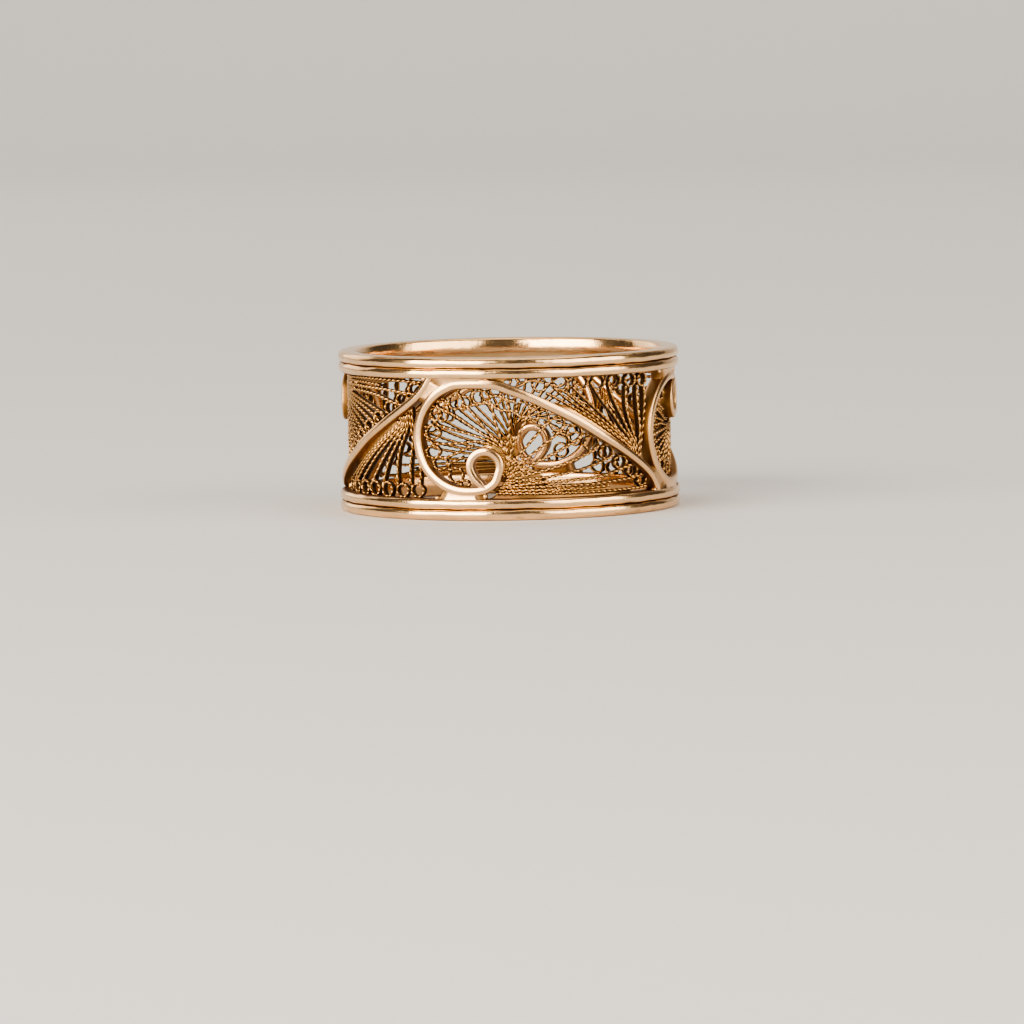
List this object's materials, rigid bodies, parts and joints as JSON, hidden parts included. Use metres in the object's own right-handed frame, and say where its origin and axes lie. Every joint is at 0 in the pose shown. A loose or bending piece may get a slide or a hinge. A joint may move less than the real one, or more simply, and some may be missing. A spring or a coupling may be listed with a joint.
{
  "type": "filigree openwork ring",
  "caption": "Wide finger ring: two polished rims, scroll ribbons between them, and pierced fans of twisted wire filling the scrolls.",
  "frame": {"origin": "middle of the lower rim's resting face, on the finger hole's axis", "axes": "+Z along the finger hole, up when the ring lies on its side; -Y is the panel whose scroll stands upright"},
  "size_m": [0.0196, 0.0196, 0.0092],
  "materials": {
    "gold": "rose-yellow gold alloy, polished rims and scrolls, soft bright wirework with darker recesses"
  },
  "bodies": {
    "root": {"filigree_ring": "gold"}
  },
  "joints": []
}
